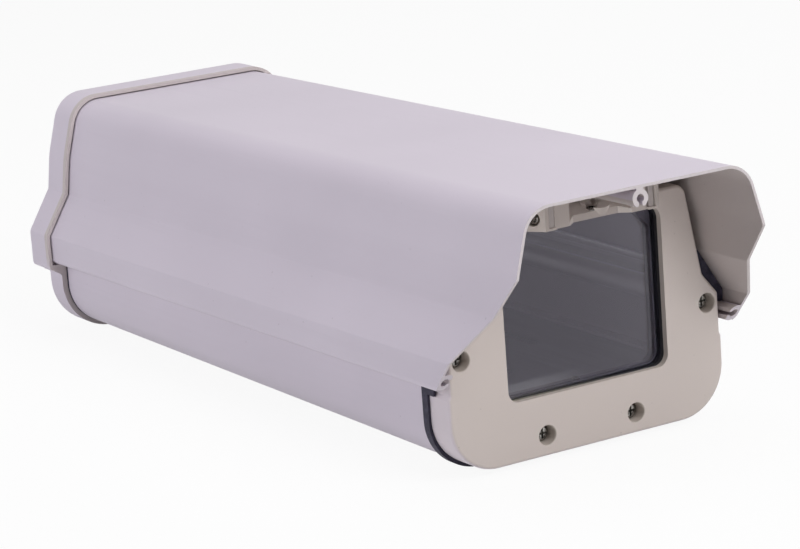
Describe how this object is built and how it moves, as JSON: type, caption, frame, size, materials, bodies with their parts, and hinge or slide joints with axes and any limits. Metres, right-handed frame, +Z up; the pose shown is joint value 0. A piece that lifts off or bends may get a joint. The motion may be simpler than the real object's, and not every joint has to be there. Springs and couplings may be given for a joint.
{
  "type": "security camera housing",
  "caption": "Long weatherproof housing for a fixed security camera: extruded body, glazed front bezel, cast rear cap with cable glands, sliding camera tray and an overhanging sunshield.",
  "frame": {"origin": "centre of the four base mounting holes, on the flat underside of the body", "axes": "+X to the right when facing the window, +Y from the window towards the rear cap, +Z up"},
  "size_m": [0.1504, 0.4134, 0.1146],
  "materials": {
    "shell_paint": "fine textured powder coat, pale warm grey",
    "bezel_paint": "satin paint on a casting, slightly warmer than the shell",
    "grey_plastic": "matt grey moulding",
    "glass": "clear float glass",
    "black_rubber": "matt black seal rubber",
    "stainless": "plain stainless fasteners",
    "gland_nylon": "grey nylon",
    "tray_aluminium": "mill finish sheet",
    "brass": "plain turned brass",
    "board_laminate": "green solder resist",
    "terminal_plastic": "moulded terminal housing"
  },
  "bodies": {
    "housing": {"body_extrusion": "shell_paint", "front_gasket": "black_rubber", "front_bezel": "bezel_paint", "bezel_screws": "stainless", "window_glass": "glass", "glass_seal": "black_rubber", "glass_frame": "grey_plastic", "frame_screws": "stainless", "sunshield": "shell_paint", "shield_support": "bezel_paint", "support_pads": "grey_plastic", "support_side_screws": "stainless", "support_centre_screw": "stainless", "rear_cap": "shell_paint", "rear_gasket": "black_rubber", "cap_screws": "stainless", "shield_screws": "stainless", "gland_bodies": "gland_nylon", "gland_seals": "black_rubber", "gland_nuts": "gland_nylon", "gland_locknuts": "gland_nylon", "standoffs": "brass", "terminal_board": "board_laminate", "board_screws": "stainless", "terminal_block": "terminal_plastic", "earth_washer": "stainless", "earth_screw": "stainless"},
    "tray": {"camera_tray": "tray_aluminium"},
    "camera_clamp": {"camera_screw": "brass"},
    "tray_lock": {"tray_lock_screw": "brass"}
  },
  "joints": [
    {"name": "tray_slide", "type": "slide", "parent": "housing", "child": "tray", "axis": [0, 1, 0], "range_m": [-0.01, 0.04]},
    {"name": "camera_screw_slide", "type": "slide", "parent": "tray", "child": "camera_clamp", "axis": [0, 1, 0], "range_m": [-0.0465, 0.0465]},
    {"name": "tray_lock_turn", "type": "hinge", "parent": "tray", "child": "tray_lock", "pos_m": [0.01, 0.046, 0.0183], "axis": [0, 0, 1], "continuous": true}
  ]
}
